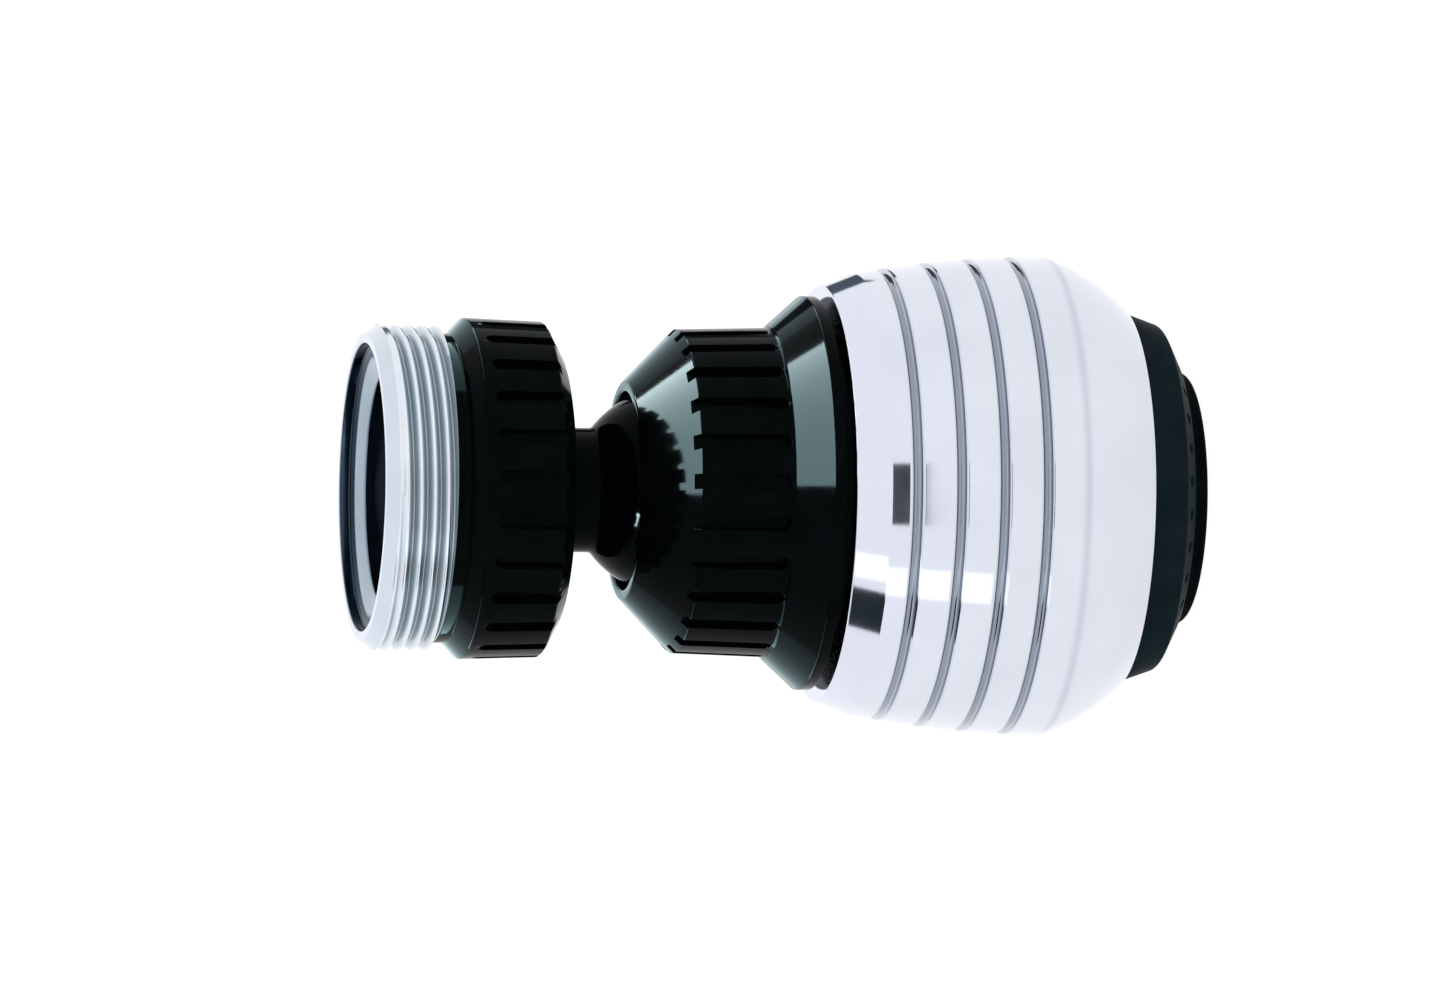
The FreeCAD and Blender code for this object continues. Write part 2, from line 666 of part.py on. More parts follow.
def build_ball_seat():
    """Plastic ring with a round face that the ball turns on."""
    seat_radius = f"({CORE_CUP_BORE} - dims.run_gap)"
    top_radius = on_sphere(SOCKET_RADIUS, f"{SEAT_TOP} - {BALL}")
    base_radius = on_sphere(SOCKET_RADIUS, f"{SEAT_BASE} - {BALL}")
    return turned("ball_seat", [
        (base_radius, SEAT_BASE, SOCKET_RADIUS, "left"),
        (seat_radius, SEAT_BASE),
        (seat_radius, SEAT_TOP),
        (top_radius, SEAT_TOP),
    ])


def build_head_core():
    """Core: a cup for the ball's seat and seal, a neck that the bell slides on, and a
    piston at its foot. A web across the passage carries the spindle."""
    groove_half = "(dims.piston_ring_section + dims.ring_side_gap)"
    groove_floor = f"({PISTON_RING} - dims.piston_ring_section - dims.touch_gap)"
    groove_height = f"({PISTON_BASE} + dims.piston_height / 2)"
    seal_groove_top = f"({PISTON_BASE} + dims.face_seal_depth)"
    bell_top = f"({PISTON_BASE} + dims.core_bell_depth)"
    dish_base = f"({CUP_FLOOR} - dims.core_dish_depth)"
    dish_radius = f"({CORE_CUP_BORE} - dims.core_dish_step)"
    passage_radius = f"({dish_radius} - dims.core_dish_slope)"
    seal_groove_bore = f"({FACE_SEAL_BORE} - dims.seat_gap)"
    seal_groove_radius = f"({FACE_SEAL_RADIUS} + dims.seat_gap)"
    body = turned("head_core", [
        (CORE_CUP_BORE, CORE_TOP),
        (CORE_CUP_BORE, CUP_FLOOR),
        (dish_radius, CUP_FLOOR),
        (dish_radius, dish_base),
        (passage_radius, f"({dish_base} - dims.core_dish_slope)"),
        (passage_radius, f"({bell_top} + dims.core_bell_slope)"),
        (CORE_BELL_RADIUS, bell_top),
        (CORE_BELL_RADIUS, PISTON_BASE),
        (seal_groove_bore, PISTON_BASE),
        (seal_groove_bore, seal_groove_top),
        (seal_groove_radius, seal_groove_top),
        (seal_groove_radius, PISTON_BASE),
        (PISTON_RADIUS, PISTON_BASE),
        (PISTON_RADIUS, f"({groove_height} - {groove_half})"),
        (groove_floor, f"({groove_height} - {groove_half})"),
        (groove_floor, f"({groove_height} + {groove_half})"),
        (PISTON_RADIUS, f"({groove_height} + {groove_half})"),
        (PISTON_RADIUS, PISTON_TOP),
        (CORE_NECK_RADIUS, PISTON_TOP),
        (CORE_NECK_RADIUS, CORE_SHOULDER),
        (CORE_CUP_RADIUS, CORE_SHOULDER),
        (CORE_CUP_RADIUS, CORE_TOP),
    ])
    reach = f"({CORE_BELL_RADIUS} + dims.seat_gap)"
    pad_arms(body, "web_arm", WEB_BASE, "dims.web_height", reach, "dims.web_arm_width", "dims.web_arm_count")
    pad_disc(body, "web_hub", WEB_BASE, "dims.web_height", "dims.web_hub_radius")
    hole_radius = "(dims.spindle_radius + dims.seat_gap)"
    drill_circle(body, "web_hole", WEB_TOP, "dims.web_height", "0", hole_radius, "1")
    return body


def build_diverter_spindle():
    """Spindle that hangs the valve below the ledge of the nozzle's tube."""
    head_radius = f"({VALVE_RADIUS} - dims.spindle_head_step)"
    return turned("diverter_spindle", [
        ("0", SPINDLE_END),
        (head_radius, SPINDLE_END),
        (head_radius, VALVE_BASE),
        ("dims.spindle_waist_radius", VALVE_BASE),
        ("dims.spindle_waist_radius", VALVE_TOP),
        ("dims.spindle_shank_radius", VALVE_TOP),
        ("dims.spindle_shank_radius", WEB_BASE),
        ("dims.spindle_radius", WEB_BASE),
        ("dims.spindle_radius", WEB_TOP),
        ("0", WEB_TOP),
    ])


def build_head_shell():
    """Bell: a plain conical band, a belly with ring grooves, and a rounded shoulder. Its
    lip slides on the core's neck, and its bore grips the nozzle's cup."""
    bore = f"({CUP_RADIUS} + dims.seat_gap)"
    lip_bore = f"({CORE_NECK_RADIUS} + dims.run_gap)"
    body = turned("head_shell", [
        (bore, "dims.nozzle_drop"),
        (SHELL_MOUTH_RADIUS, "dims.nozzle_drop"),
        (BELLY_RADIUS, SHOULDER_TOP, "dims.shoulder_round", "right"),
        (BAND_EDGE_RADIUS, BAND_EDGE, "dims.belly_round", "right"),
        (SHELL_TOP_RADIUS, SHELL_TOP),
        (lip_bore, SHELL_TOP),
        (lip_bore, LIP_UNDER),
        (bore, LIP_UNDER),
    ])
    sketch = new_sketch(body, "ring_groove_outlines", "XZ_Plane")
    start = FreeCAD.Vector(size(BELLY_RADIUS), size(SHOULDER_TOP), 0)
    end = FreeCAD.Vector(size(BAND_EDGE_RADIUS), size(BAND_EDGE), 0)
    belly = sketch.addGeometry(arc_between(start, end, size("dims.belly_round"), "right"), True)
    bind(sketch, ("Radius", belly), "dims.belly_round")
    pin_point(sketch, (belly, 1), BELLY_RADIUS, SHOULDER_TOP)
    pin_point(sketch, (belly, 2), BAND_EDGE_RADIUS, BAND_EDGE)
    pitch = f"(({LAST_GROOVE} - {FIRST_GROOVE}) / (dims.ring_groove_count - 1))"
    for index in range(int(size("dims.ring_groove_count"))):
        height = f"({FIRST_GROOVE} + {index} * {pitch})"
        centre = FreeCAD.Vector(size(BELLY_RADIUS), size(height), 0)
        circle = Part.Circle(centre, FreeCAD.Vector(0, 0, 1), size("dims.ring_groove_radius"))
        groove = sketch.addGeometry(circle)
        bind(sketch, ("Radius", groove), "dims.ring_groove_radius")
        sketch.addConstraint(Sketcher.Constraint("PointOnObject", groove, 3, belly))
        bind(sketch, ("DistanceY", -1, 1, groove, 3), height)
    cut = body.newObject("PartDesign::Groove", "ring_grooves")
    cut.Profile = sketch
    cut.ReferenceAxis = (sketch, ["V_Axis"])
    cut.Angle = 360
    doc.recompute()
    return body


def build_spray_nozzle():
    """Nozzle: an outer cup that the piston seals in, a middle tube with the valve's
    ledge, and a sloping face drilled for the spray between them."""
    body = turned("spray_nozzle", [
        (f"({FACE_LAND_RADIUS} + dims.face_slope_width)", f"({FACE_LAND} + dims.face_slope_rise)"),
        (CUP_RADIUS, "dims.nozzle_drop"),
        (CUP_RADIUS, LIP_UNDER),
        (CUP_BORE, LIP_UNDER),
        (CUP_BORE, "dims.cup_floor"),
        (TUBE_RADIUS, "dims.cup_floor"),
        (TUBE_RADIUS, TUBE_TOP),
        (TUBE_CROWN_BORE, TUBE_TOP),
        (TUBE_CROWN_BORE, LEDGE_TOP),
        (LEDGE_BORE, LEDGE_TOP),
        (LEDGE_BORE, LEDGE_BASE),
        (TUBE_BORE, LEDGE_BASE),
        (TUBE_BORE, BORE_STEP),
        (SLEEVE_BORE, BORE_STEP),
        (SLEEVE_BORE, BOSS_FLANGE_TOP),
        (BOSS_HOLE_RADIUS, BOSS_FLANGE_TOP),
        (BOSS_HOLE_RADIUS, "dims.boss_proud"),
        (FACE_LAND_RADIUS, FACE_LAND),
    ])
    drill_circle(
        body,
        "spray_hole",
        "dims.cup_floor",
        "dims.cup_floor",
        f"({TUBE_RADIUS} + dims.spray_channel / 2)",
        "dims.spray_hole_radius",
        "dims.spray_hole_count",
    )
    return body


def build_aerator_housing():
    """Housing of the aerated jet: the boss in the middle of the outlet and the sleeve
    that screws into the nozzle's tube."""
    mouth_radius = f"({STACK_RADIUS} - dims.housing_lip_width)"
    boss_radius = f"({BOSS_BASE_RADIUS} - dims.boss_taper)"
    return turned("aerator_housing", [
        (mouth_radius, "0"),
        (f"({boss_radius} - dims.boss_round)", "0"),
        (boss_radius, "dims.boss_round", "dims.boss_round", "right"),
        (BOSS_BASE_RADIUS, "dims.boss_proud"),
        (BOSS_BASE_RADIUS, BOSS_FLANGE_TOP),
        (HOUSING_RADIUS, BOSS_FLANGE_TOP),
        (HOUSING_RADIUS, JET_TOP),
        (HOUSING_BORE, JET_TOP),
        (HOUSING_BORE, "dims.housing_lip"),
        (mouth_radius, "dims.housing_lip"),
    ])


def build_outlet_grille():
    """Grille that straightens the jet: a rim, two rings and a hub on spokes."""
    base = "dims.housing_lip"
    height = "dims.grille_height"
    inner = f"({STACK_RADIUS} - dims.grille_rim)"
    body = turned_ring("outlet_grille", STACK_RADIUS, inner, base, GRILLE_TOP)
    reach = f"({STACK_RADIUS} - dims.grille_rim / 2)"
    pad_arms(body, "grille_spoke", base, height, reach, "dims.grille_spoke_width", "dims.grille_spoke_count")
    pad_disc(body, "grille_hub", base, height, "dims.grille_hub_radius")
    pitch = f"(({inner} - dims.grille_hub_radius) / (dims.grille_ring_count + 1))"
    for index in range(1, int(size("dims.grille_ring_count")) + 1):
        middle = f"dims.grille_hub_radius + {index} * {pitch}"
        sketch = new_sketch(body, f"grille_ring_{index}_outline", "XY_Plane", base)
        draw_circle(sketch, f"({middle} + dims.grille_ring_width / 2)")
        draw_circle(sketch, f"({middle} - dims.grille_ring_width / 2)")
        ring = body.newObject("PartDesign::Pad", f"grille_ring_{index}")
        ring.Profile = sketch
        ring.setExpression("Length", height)
        doc.recompute()
    return body


def build_mixer_ring():
    """Ring that narrows below the jets, where air joins the water."""
    return turned("mixer_ring", [
        (f"({STACK_RADIUS} - dims.mixer_width)", UPPER_SCREEN_TOP),
        (STACK_RADIUS, UPPER_SCREEN_TOP),
        (STACK_RADIUS, MIXER_TOP),
        (f"({STACK_RADIUS} - dims.mixer_rim)", MIXER_TOP),
    ])


def build_jet_plate():
    """Plate drilled with two rings of jets."""
    body = turned_ring("jet_plate", STACK_RADIUS, "0", MIXER_TOP, JET_TOP)
    thickness = "dims.jet_plate_thickness"
    outer = f"({STACK_RADIUS} - dims.jet_edge)"
    inner = f"({outer} - dims.jet_circle_pitch)"
    drill_circle(body, "outer_jet", JET_TOP, thickness, outer, "dims.jet_radius", "dims.outer_jet_count")
    drill_circle(body, "inner_jet", JET_TOP, thickness, inner, "dims.jet_radius", "dims.inner_jet_count")
    return body


pieces = [
    build_threaded_ring(),
    build_filter_rim(),
    mesh_disc("filter_mesh", FILTER_MESH_RADIUS, MESH_BASE),
    build_grip_collar(),
    build_stem_bush(),
    o_ring("bush_o_ring", BUSH_RING_RADIUS, BUSH_RING, "dims.bush_ring_section"),
    build_ball_stem(),
    build_ball_nut(),
    build_ball_seat(),
    o_ring("ball_seal", SEAL_RADIUS, SEAL, "dims.seal_section"),
    build_head_core(),
    o_ring(
        "piston_o_ring",
        PISTON_RING,
        f"(({PISTON_BASE} + {PISTON_TOP}) / 2)",
        "dims.piston_ring_section",
    ),
    turned_ring(
        "face_seal",
        FACE_SEAL_RADIUS,
        FACE_SEAL_BORE,
        f"({PISTON_BASE} - dims.face_seal_proud)",
        f"({PISTON_BASE} + dims.face_seal_depth)",
    ),
    build_diverter_spindle(),
    turned_ring(
        "diverter_washer",
        VALVE_RADIUS,
        "(dims.spindle_waist_radius + dims.seat_gap)",
        VALVE_BASE,
        VALVE_TOP,
    ),
    build_head_shell(),
    build_spray_nozzle(),
    turned_ring(
        "aerator_washer",
        HOUSING_RADIUS,
        f"({TUBE_BORE} - dims.aerator_washer_margin)",
        JET_TOP,
        BORE_STEP,
    ),
    build_aerator_housing(),
    build_jet_plate(),
    build_mixer_ring(),
    mesh_disc("upper_screen", STACK_RADIUS, SPACER_TOP),
    turned_ring(
        "screen_spacer",
        STACK_RADIUS,
        f"({STACK_RADIUS} - dims.spacer_width)",
        LOWER_SCREEN_TOP,
        SPACER_TOP,
    ),
    mesh_disc("lower_screen", STACK_RADIUS, GRILLE_TOP),
    build_outlet_grille(),
]

doc.recompute()
for item in doc.Objects:
    if "Invalid" in item.State or "Error" in item.State:
        raise RuntimeError(f"{item.Label} did not recompute: {item.State}")
for piece in pieces:
    if piece.Shape.isNull() or not piece.Shape.isValid() or len(piece.Shape.Solids) != 1:
        raise RuntimeError(f"{piece.Label} is not one valid solid")

os.makedirs("parts", exist_ok=True)
for piece in pieces:
    piece.Shape.exportStep(f"parts/{piece.Label}.step")
    box = piece.Shape.optimalBoundingBox()
    print(f"{piece.Label}: {piece.Shape.Volume:.1f} mm3, {box.ZMin:.2f} to {box.ZMax:.2f}")
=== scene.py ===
# Swivel tap aerator, stood on its outlet end. The sections follow it from the tap down to
# the outlet. Sections of metal and plastic are drawn in millimetres and made in metres.
import math

import bmesh
import bpy
from mathutils import Matrix, Vector


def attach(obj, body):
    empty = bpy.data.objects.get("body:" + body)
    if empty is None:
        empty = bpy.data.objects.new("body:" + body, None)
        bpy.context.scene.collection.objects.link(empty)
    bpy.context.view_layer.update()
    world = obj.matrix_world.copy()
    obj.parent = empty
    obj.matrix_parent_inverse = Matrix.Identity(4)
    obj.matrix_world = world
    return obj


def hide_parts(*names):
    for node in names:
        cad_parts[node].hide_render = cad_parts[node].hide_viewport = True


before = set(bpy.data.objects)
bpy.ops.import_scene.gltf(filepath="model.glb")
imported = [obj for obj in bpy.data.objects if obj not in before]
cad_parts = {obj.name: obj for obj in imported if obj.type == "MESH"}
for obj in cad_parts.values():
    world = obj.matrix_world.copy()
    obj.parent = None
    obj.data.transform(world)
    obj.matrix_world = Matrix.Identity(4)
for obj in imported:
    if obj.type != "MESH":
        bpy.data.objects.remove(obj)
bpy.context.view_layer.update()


# THREADED RING
# Turned brass with bright chrome plate. The tap's M24 x 1 thread is cut outside, the mouth
# is counterbored and countersunk for a washer, and the shank is pressed in the grip collar.
# The plate is duller in the thread. Shade is painted into its colour in the thread's
# grooves, in the bore and on the counterbore's wall.
RING_STEPS = 240
PITCH = 1.0
THREAD_TURNS = 5
THREAD_RADIUS = 12.0
THREAD_BASE = 56.55
THREAD_TOP = 60.9
THREAD_FADE = 0.75
THREAD_INSIDE = 11.2
# One turn of the thread: (share of the pitch, height below the crest)
THREAD_FORM = [
    (0.0, 0.0),
    (0.055, 0.004),
    (0.1, 0.04),
    (0.38, 0.53),
    (0.44, 0.6),
    (0.5, 0.613),
    (0.56, 0.6),
    (0.62, 0.53),
    (0.9, 0.04),
    (0.945, 0.004),
]
# Shade painted into the plate's colour: (radius, colour)
RING_REACH = 13.0
# Painted shade: dark in the bore, grey on the countersink, dark on the counterbore's wall, the face
# and lead chamfer a little dimmed.
MOUTH_SHADE_TONES = [
    (8.45, (0.11, 0.15, 0.2)),
    (8.7, (0.4, 0.47, 0.51)),
    (10.35, (0.46, 0.53, 0.57)),
    (10.5, (0.05, 0.075, 0.1)),
    (10.63, (0.05, 0.075, 0.1)),
    (10.7, (0.8, 0.82, 0.84)),
]
# Painted shade in the thread's grooves, darkest at their root.
THREAD_SHADE_TONES = [(11.42, (0.42, 0.46, 0.48)), (11.7, (0.56, 0.6, 0.62)), (11.97, (0.95, 0.96, 0.96))]
MM_IN_M = 1000
WELD = 0.0005


def eased(corners, steps=4):
    """A half section whose corners (radius, height, round) get their rounds as short arcs."""
    points = []
    for index, corner in enumerate(corners):
        here = Vector(corner[:2])
        if len(corner) == 2:
            points.append(here)
            continue
        back = (Vector(corners[index - 1][:2]) - here).normalized()
        ahead = (Vector(corners[(index + 1) % len(corners)][:2]) - here).normalized()
        half = back.angle(ahead) / 2
        centre = here + (back + ahead).normalized() * (corner[2] / math.sin(half))
        first = here + back * (corner[2] / math.tan(half))
        last = here + ahead * (corner[2] / math.tan(half))
        points += swept(centre, first, last, steps)
    return points


def swept(centre, first, last, steps):
    """Points of the short arc round a centre."""
    start, end = first - centre, last - centre
    return [centre + start.slerp(end, step / steps) * start.length for step in range(steps + 1)]


def skinned(columns, wrap=True):
    """A skin over columns of points, one column for each step round the axis."""
    form = bmesh.new()
    rows = len(columns[0])
    grid = [[form.verts.new(point) for point in column] for column in columns]
    for index in range(len(grid) if wrap else len(grid) - 1):
        here = grid[index]
        beside = grid[(index + 1) % len(grid)]
        for row in range(rows):
            above = (row + 1) % rows
            form.faces.new((here[row], beside[row], beside[above], here[above]))
    bmesh.ops.remove_doubles(form, verts=form.verts, dist=WELD)
    bmesh.ops.recalc_face_normals(form, faces=form.faces)
    return form


def made(form, name, material, sharp=38):
    """The finished piece: millimetres to metres, smooth but for its sharp edges."""
    mesh = bpy.data.meshes.new(name)
    bmesh.ops.scale(form, vec=(0.001, 0.001, 0.001), verts=form.verts)
    form.to_mesh(mesh)
    form.free()
    mesh.polygons.foreach_set("use_smooth", [True] * len(mesh.polygons))
    mesh.set_sharp_from_angle(angle=math.radians(sharp))
    mesh.materials.append(material)
    piece = bpy.data.objects.new(name, mesh)
    bpy.context.scene.collection.objects.link(piece)
    weighted = piece.modifiers.new("flat_faces_stay_flat", "WEIGHTED_NORMAL")
    weighted.keep_sharp = True
    return piece


def finish(name):
    """A new material with its node tree, its shader and the piece's own coordinates."""
    material = bpy.data.materials.new(name)
    material.use_nodes = True
    tree = material.node_tree
    own = tree.nodes.new("ShaderNodeTexCoord").outputs["Object"]
    return material, tree, tree.nodes["Principled BSDF"], own


def mottle(tree, own, size_mm, detail=4):
    """Soft irregular patches about this many millimetres across."""
    node = tree.nodes.new("ShaderNodeTexNoise")
    node.inputs["Scale"].default_value = MM_IN_M / size_mm
    node.inputs["Detail"].default_value = detail
    tree.links.new(own, node.inputs["Vector"])
    return node.outputs["Fac"]


def lathe_lines(tree, own, size_mm):
    """Fine lines round the axis, as a turning or polishing tool leaves them."""
    parts = tree.nodes.new("ShaderNodeSeparateXYZ")
    tree.links.new(own, parts.inputs["Vector"])
    node = tree.nodes.new("ShaderNodeTexNoise")
    node.noise_dimensions = "1D"
    node.inputs["Scale"].default_value = MM_IN_M / size_mm
    node.inputs["Detail"].default_value = 3
    tree.links.new(parts.outputs["Z"], node.inputs["W"])
    return node.outputs["Fac"]


def between(tree, pattern, low, high):
    """The pattern stretched so that it runs from low to high."""
    node = tree.nodes.new("ShaderNodeMapRange")
    node.inputs["From Min"].default_value = 0.3
    node.inputs["From Max"].default_value = 0.7
    node.inputs["To Min"].default_value = low
    node.inputs["To Max"].default_value = high
    tree.links.new(pattern, node.inputs["Value"])
    return node.outputs["Result"]


def two_tone(tree, pattern, first, second, shader):
    """The pattern as a slight change of colour."""
    ramp = tree.nodes.new("ShaderNodeValToRGB")
    ramp.color_ramp.elements[0].position = 0.3
    ramp.color_ramp.elements[0].color = (*first, 1)
    ramp.color_ramp.elements[1].position = 0.7
    ramp.color_ramp.elements[1].color = (*second, 1)
    tree.links.new(pattern, ramp.inputs["Fac"])
    tree.links.new(ramp.outputs["Color"], shader.inputs["Base Color"])


def relief(tree, shader, *patterns):
    """Raise (pattern, height in micrometres) pairs from the surface, one over another."""
    below = None
    for pattern, height in patterns:
        node = tree.nodes.new("ShaderNodeBump")
        node.inputs["Distance"].default_value = height * 1e-6
        tree.links.new(pattern, node.inputs["Height"])
        if below is not None:
            tree.links.new(below, node.inputs["Normal"])
        below = node.outputs["Normal"]
    tree.links.new(below, shader.inputs["Normal"])


def chrome_plate(name, light, shade, smooth, dull, line_height):
    """Bright plate: slight haze, and the lines of the tool below the plate."""
    material, tree, plate, own = finish(name)
    plate.inputs["Metallic"].default_value = 1
    haze = mottle(tree, own, 5)
    two_tone(tree, haze, light, shade, plate)
    lines = lathe_lines(tree, own, 0.12)
    tree.links.new(between(tree, haze, smooth, dull), plate.inputs["Roughness"])
    relief(tree, plate, (lines, line_height), (mottle(tree, own, 0.6), 0.15))
    return material


def shade_painted_by_place(material, way, stops, reach_mm):
    """Paint shade into the plate's colour by how far out (radius) or how high (height) it lies, in
    millimetres.
    """
    tree = material.node_tree
    plate = tree.nodes["Principled BSDF"]
    own = tree.nodes["Texture Coordinate"].outputs["Object"]
    if way == "radius":
        flat = tree.nodes.new("ShaderNodeVectorMath")
        flat.operation = "MULTIPLY"
        flat.inputs[1].default_value = (1, 1, 0)
        tree.links.new(own, flat.inputs[0])
        length = tree.nodes.new("ShaderNodeVectorMath")
        length.operation = "LENGTH"
        tree.links.new(flat.outputs["Vector"], length.inputs[0])
        place = length.outputs["Value"]
    else:
        parts = tree.nodes.new("ShaderNodeSeparateXYZ")
        tree.links.new(own, parts.inputs["Vector"])
        place = parts.outputs["Z"]
    share = tree.nodes.new("ShaderNodeMath")
    share.operation = "MULTIPLY"
    share.inputs[1].default_value = MM_IN_M / reach_mm
    tree.links.new(place, share.inputs[0])
    ramp = tree.nodes.new("ShaderNodeValToRGB")
    for _ in stops[2:]:
        ramp.color_ramp.elements.new(1.0)
    for index, (spot, tone) in enumerate(stops):
        ramp.color_ramp.elements[index].position = spot / reach_mm
        ramp.color_ramp.elements[index].color = (*tone, 1)
    tree.links.new(share.outputs["Value"], ramp.inputs["Fac"])
    mix = tree.nodes.new("ShaderNodeMix")
    mix.data_type = "RGBA"
    mix.blend_type = "MULTIPLY"
    mix.inputs["Factor"].default_value = 1
    colour = plate.inputs["Base Color"].links[0].from_socket
    tree.links.new(colour, mix.inputs["A"])
    tree.links.new(ramp.outputs["Color"], mix.inputs["B"])
    tree.links.new(mix.outputs["Result"], plate.inputs["Base Color"])


def thread_drop(turn):
    """How far the thread's surface lies below its crest, at this share of a turn."""
    share = turn % 1
    for (start, high), (end, low) in zip(THREAD_FORM, THREAD_FORM[1:] + [(1.0, 0.0)]):
        if share <= end:
            return high + (low - high) * (share - start) / (end - start)
    return 0.0


def thread_column(angle, turns):
    """The thread's outline at one side of the ring. Its groove runs out below the lead."""
    column = []
    for turn in range(-1, turns + 1):
        for share, _ in THREAD_FORM:
            height = THREAD_BASE + PITCH * (turn + share + angle / (2 * math.pi))
            height = min(max(height, THREAD_BASE), THREAD_TOP)
            depth = thread_drop((height - THREAD_BASE) / PITCH - angle / (2 * math.pi))
            fade = min(1, (THREAD_TOP - height) / THREAD_FADE)
            column.append(Vector((THREAD_RADIUS - depth * fade * fade * (3 - 2 * fade), height)))
    return column


ring_mouth = eased([
    (12.0, 60.9, 0.12), (11.35, 61.8, 0.12), (10.6, 61.8, 0.1), (10.6, 61.05, 0.08),
    (8.5, 60.2, 0.1), (8.5, 56.2), (7.6, 56.2, 0.05), (7.6, 51.4, 0.1), (10.4, 51.4, 0.1),
    (10.4, 56.55),
])
ring_columns = []
for step in range(RING_STEPS + 1):
    angle = 2 * math.pi * step / RING_STEPS
    outline = thread_column(angle, THREAD_TURNS) + ring_mouth
    ring_columns.append([(p.x * math.cos(angle), p.x * math.sin(angle), p.y) for p in outline])
ring_chrome = chrome_plate(
    "chromed_brass", (0.78, 0.83, 0.87), (0.7, 0.75, 0.79), smooth=0.05, dull=0.1, line_height=0.5
)
shade_painted_by_place(ring_chrome, "radius", MOUTH_SHADE_TONES, RING_REACH)
thread_chrome = chrome_plate(
    "chromed_thread", (0.78, 0.83, 0.87), (0.7, 0.75, 0.79), smooth=0.17, dull=0.22, line_height=0.5
)
shade_painted_by_place(thread_chrome, "radius", THREAD_SHADE_TONES, RING_REACH)
threaded_ring = made(skinned(ring_columns, wrap=False), "thread_ring", ring_chrome, sharp=50)
threaded_ring.data.materials.append(thread_chrome)
for face in threaded_ring.data.polygons:
    middle = face.center * MM_IN_M
    face.material_index = 1 if middle.z < THREAD_TOP and middle.xy.length > THREAD_INSIDE else 0
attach(threaded_ring, "connector")
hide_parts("threaded_ring")


# INLET FILTER
# A black plastic rim drops on the step in the ring's bore and holds a disc of woven
# stainless wire, which keeps grit out of the jets.
WIRE = 0.05
WIRE_SIDES = 5
WIRE_STEPS = 8
WEAVE = 0.46
FILTER_RADIUS = 7.42
FILTER_HEIGHT = 56.8


def natural_plastic(name, light, shade):
    """Plain moulding: waxy, a little uneven, dull."""
    material, tree, resin, own = finish(name)
    cloud = mottle(tree, own, 3)
    two_tone(tree, cloud, light, shade, resin)
    resin.inputs["Specular IOR Level"].default_value = 0.35
    tree.links.new(between(tree, cloud, 0.35, 0.5), resin.inputs["Roughness"])
    relief(tree, resin, (mottle(tree, own, 0.15), 3))
    return material


def steel_wire(name):
    """Drawn stainless wire, grey and a little dull."""
    material, tree, wire, own = finish(name)
    wire.inputs["Metallic"].default_value = 1
    marks = mottle(tree, own, 0.2)
    two_tone(tree, marks, (0.2, 0.23, 0.27), (0.12, 0.14, 0.17), wire)
    tree.links.new(between(tree, marks, 0.22, 0.38), wire.inputs["Roughness"])
    relief(tree, wire, (marks, 1))
    return material


def dress(material, *names):
    """Give solids that stay in view, or behind others, their material."""
    for name in names:
        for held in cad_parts[name].material_slots:
            held.material = material


def woven(radius, height):
    """A round of plain weave. Each wire goes over one and under the next."""
    form = bmesh.new()
    reach = int(radius / WEAVE)
    for along in (0, 1):
        for count in range(-reach, reach + 1):
            across = count * WEAVE
            half = math.sqrt(radius**2 - across**2)
            steps = max(4, round(half * WIRE_STEPS / WEAVE))
            rings = []
            for step in range(steps + 1):
                way = -half + 2 * half * step / steps
                wave = math.cos(math.pi * (way / WEAVE + count + along)) * WIRE
                ring = []
                for side in range(WIRE_SIDES):
                    turn = 2 * math.pi * side / WIRE_SIDES
                    flat = (way, across + WIRE * math.cos(turn))
                    spot = flat if along == 0 else flat[::-1]
                    ring.append(form.verts.new((*spot, height + wave + WIRE * math.sin(turn))))
                rings.append(ring)
            for low, high in zip(rings, rings[1:]):
                for side in range(WIRE_SIDES):
                    beside = (side + 1) % WIRE_SIDES
                    form.faces.new((low[side], low[beside], high[beside], high[side]))
            form.faces.new(rings[0])
            form.faces.new(rings[-1])
    bmesh.ops.recalc_face_normals(form, faces=form.faces)
    return form


filter_wire = steel_wire("stainless_wire")
filter_weave = made(woven(FILTER_RADIUS, FILTER_HEIGHT), "filter_weave", filter_wire, sharp=80)
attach(filter_weave, "connector")
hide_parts("filter_mesh")
rim_black = natural_plastic("black_rim", (0.012, 0.016, 0.02), (0.008, 0.011, 0.014))
dress(rim_black, "filter_rim")


# GRIP COLLAR
# A polished black moulding, pressed on the ring's shank. Its narrow slots let the fingers
# turn it, and they stop in round ends below a plain rim. All its edges are a little soft.
COLLAR_SLOTS = 25
COLLAR_STEPS = 200
ROUND_STEPS = 12


def turned(section, steps):
    """A half section turned about the axis."""
    turns = [2 * math.pi * step / steps for step in range(steps)]
    return skinned([[(p.x * math.cos(a), p.x * math.sin(a), p.y) for p in section] for a in turns])


def black_moulding(name, deep, worn, gloss, dull, shine, grain_height):
    """Moulded black plastic: near black, with a faint mottle and the tool's fine grain."""
    material, tree, resin, own = finish(name)
    patches = mottle(tree, own, 2.5)
    two_tone(tree, patches, deep, worn, resin)
    resin.inputs["Specular IOR Level"].default_value = shine
    resin.inputs["Specular Tint"].default_value = (0.72, 0.96, 1, 1)
    tree.links.new(between(tree, patches, gloss, dull), resin.inputs["Roughness"])
    relief(tree, resin, (mottle(tree, own, 0.12), grain_height), (mottle(tree, own, 1.8), 2))
    return material


